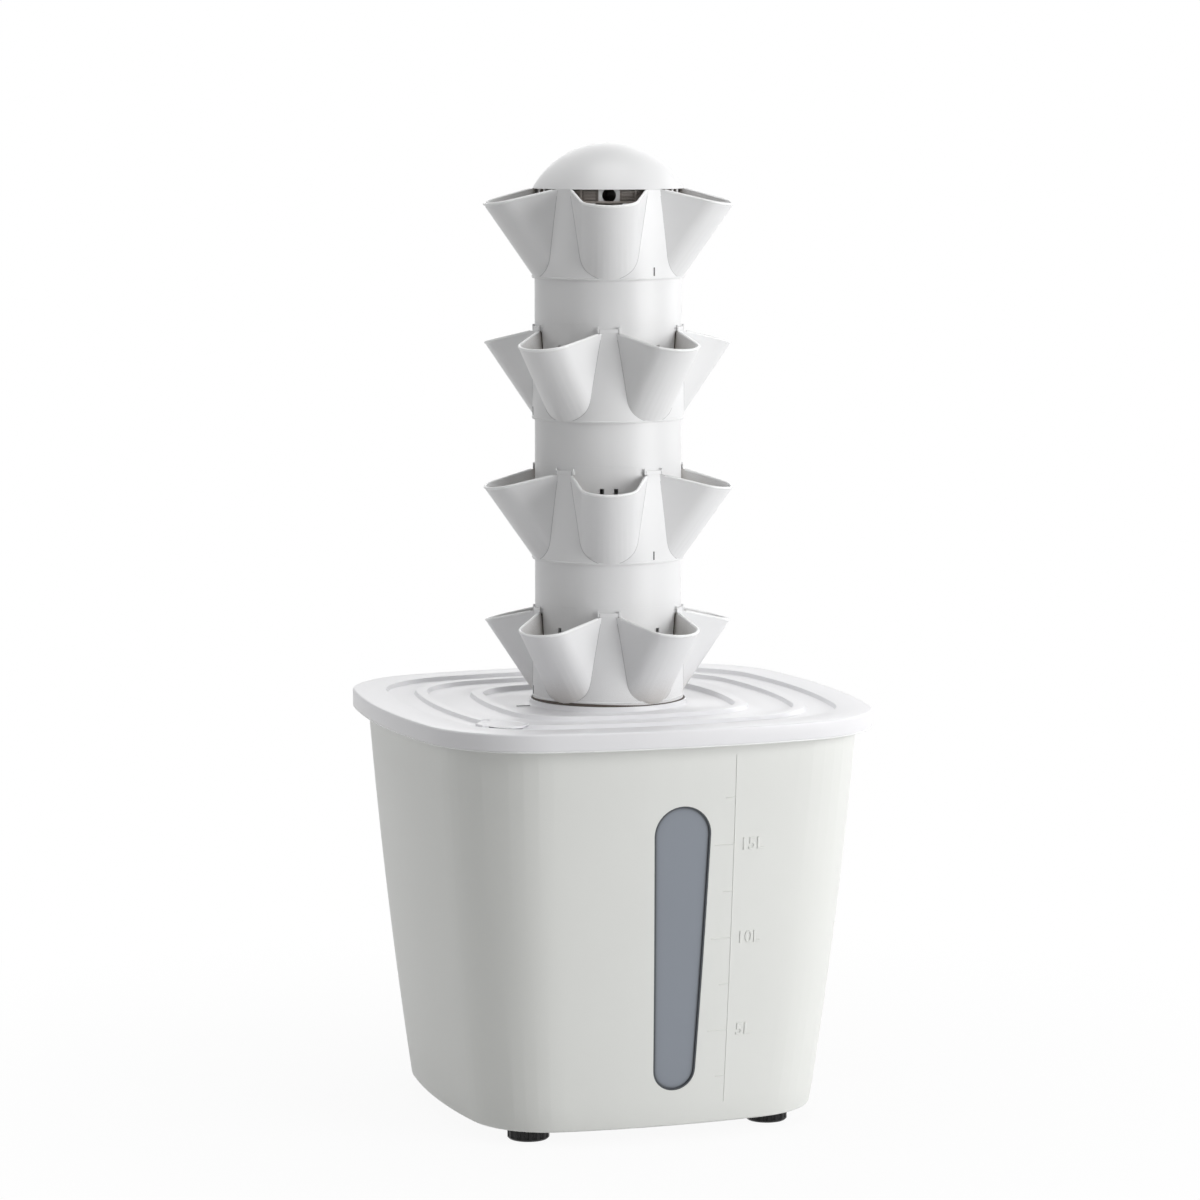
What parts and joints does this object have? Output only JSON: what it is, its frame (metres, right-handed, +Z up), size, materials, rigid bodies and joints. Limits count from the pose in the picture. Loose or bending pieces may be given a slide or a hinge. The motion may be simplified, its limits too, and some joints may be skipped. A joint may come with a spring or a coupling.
{
  "type": "hydroponic tower",
  "caption": "Hydroponic tower: tapered water tank with level window and feet, terraced lid, and a column of stacked planter rings under a dome cap.",
  "frame": {"origin": "centre of the footprint on the floor", "axes": "+Z up along the column, the tank's level window faces -Y, +X to the right seen from the front"},
  "size_m": [0.3594, 0.3594, 0.727],
  "materials": {
    "tank_plastic": "warm white moulded polypropylene, fine matt texture",
    "smoked_window": "smoked translucent pane, satin",
    "seal_rubber": "dark soft seal",
    "lid_plastic": "cool white moulded plastic, semi gloss",
    "tower_plastic": "cool white moulded plastic, satin",
    "foot_plastic": "black moulded plastic",
    "insert_brass": "turned brass insert",
    "pipe_plastic": "white extruded pipe",
    "pump_plastic": "black moulded pump casing",
    "rotor_plastic": "pale moulded rotor",
    "sucker_rubber": "black soft rubber"
  },
  "bodies": {
    "tank": {"tank_shell": "tank_plastic", "level_window": "smoked_window", "window_seal": "seal_rubber", "foot_insert_1": "insert_brass", "foot_insert_2": "insert_brass", "foot_insert_3": "insert_brass", "foot_insert_4": "insert_brass"},
    "lid_unit": {"lid": "lid_plastic", "riser_lower": "pipe_plastic", "riser_upper": "pipe_plastic", "riser_coupler": "pipe_plastic", "pump_housing": "pump_plastic", "pump_cover": "pump_plastic", "pump_screen": "pump_plastic", "suction_foot_1": "sucker_rubber", "suction_foot_2": "sucker_rubber", "suction_foot_3": "sucker_rubber", "suction_foot_4": "sucker_rubber"},
    "filler": {"fill_cap": "lid_plastic"},
    "rotor": {"pump_impeller": "rotor_plastic"},
    "tier_4": {"planter_ring_4": "tower_plastic", "column_tube_4": "tower_plastic", "drip_tray_4": "tower_plastic"},
    "tier_3": {"planter_ring_3": "tower_plastic", "column_tube_3": "tower_plastic", "drip_tray_3": "tower_plastic"},
    "tier_2": {"planter_ring_2": "tower_plastic", "column_tube_2": "tower_plastic", "drip_tray_2": "tower_plastic"},
    "tier_1": {"planter_ring_1": "tower_plastic", "column_tube_1": "tower_plastic", "drip_tray_1": "tower_plastic", "distributor": "tower_plastic"},
    "dome": {"dome_cap": "tower_plastic"},
    "foot_1": {"foot_stud_1": "foot_plastic"},
    "pad_1": {"foot_pad_1": "foot_plastic"},
    "foot_2": {"foot_stud_2": "foot_plastic"},
    "pad_2": {"foot_pad_2": "foot_plastic"},
    "foot_3": {"foot_stud_3": "foot_plastic"},
    "pad_3": {"foot_pad_3": "foot_plastic"},
    "foot_4": {"foot_stud_4": "foot_plastic"},
    "pad_4": {"foot_pad_4": "foot_plastic"}
  },
  "joints": [
    {"name": "lid_lift", "type": "slide", "parent": "tank", "child": "lid_unit", "axis": [0, 0, 1], "range_m": [0, 0.31]},
    {"name": "filler_lift", "type": "slide", "parent": "lid_unit", "child": "filler", "axis": [0, 0, 1], "range_m": [0, 0.05]},
    {"name": "rotor_spin", "type": "hinge", "parent": "lid_unit", "child": "rotor", "pos_m": [0, 0, 0.0398], "axis": [0, 1, 0], "continuous": true},
    {"name": "tier_4_twist", "type": "hinge", "parent": "lid_unit", "child": "tier_4", "pos_m": [0, 0, 0.3115], "axis": [0, 0, 1], "range_deg": [0, 18]},
    {"name": "tier_3_twist", "type": "hinge", "parent": "tier_4", "child": "tier_3", "pos_m": [0, 0, 0.4166], "axis": [0, 0, 1], "range_deg": [0, 18]},
    {"name": "tier_2_twist", "type": "hinge", "parent": "tier_3", "child": "tier_2", "pos_m": [0, 0, 0.5217], "axis": [0, 0, 1], "range_deg": [0, 18]},
    {"name": "tier_1_twist", "type": "hinge", "parent": "tier_2", "child": "tier_1", "pos_m": [0, 0, 0.6268], "axis": [0, 0, 1], "range_deg": [0, 18]},
    {"name": "dome_lift", "type": "slide", "parent": "tier_1", "child": "dome", "axis": [0, 0, 1], "range_m": [0, 0.08]},
    {"name": "foot_1_screw", "type": "slide", "parent": "tank", "child": "foot_1", "axis": [0, 0, -1], "range_m": [0, 0.005]},
    {"name": "pad_1_turn", "type": "hinge", "parent": "foot_1", "child": "pad_1", "pos_m": [-0.0935, -0.0935, 0], "axis": [0, 0, 1], "range_deg": [0, 1440]},
    {"name": "foot_2_screw", "type": "slide", "parent": "tank", "child": "foot_2", "axis": [0, 0, -1], "range_m": [0, 0.005]},
    {"name": "pad_2_turn", "type": "hinge", "parent": "foot_2", "child": "pad_2", "pos_m": [0.0935, -0.0935, 0], "axis": [0, 0, 1], "range_deg": [0, 1440]},
    {"name": "foot_3_screw", "type": "slide", "parent": "tank", "child": "foot_3", "axis": [0, 0, -1], "range_m": [0, 0.005]},
    {"name": "pad_3_turn", "type": "hinge", "parent": "foot_3", "child": "pad_3", "pos_m": [0.0935, 0.0935, 0], "axis": [0, 0, 1], "range_deg": [0, 1440]},
    {"name": "foot_4_screw", "type": "slide", "parent": "tank", "child": "foot_4", "axis": [0, 0, -1], "range_m": [0, 0.005]},
    {"name": "pad_4_turn", "type": "hinge", "parent": "foot_4", "child": "pad_4", "pos_m": [-0.0935, 0.0935, 0], "axis": [0, 0, 1], "range_deg": [0, 1440]}
  ],
  "couplings": [
    {"joint": "foot_1_screw", "follows": "pad_1_turn", "m_per_rad": 0.00019894},
    {"joint": "foot_2_screw", "follows": "pad_2_turn", "m_per_rad": 0.00019894},
    {"joint": "foot_3_screw", "follows": "pad_3_turn", "m_per_rad": 0.00019894},
    {"joint": "foot_4_screw", "follows": "pad_4_turn", "m_per_rad": 0.00019894}
  ]
}
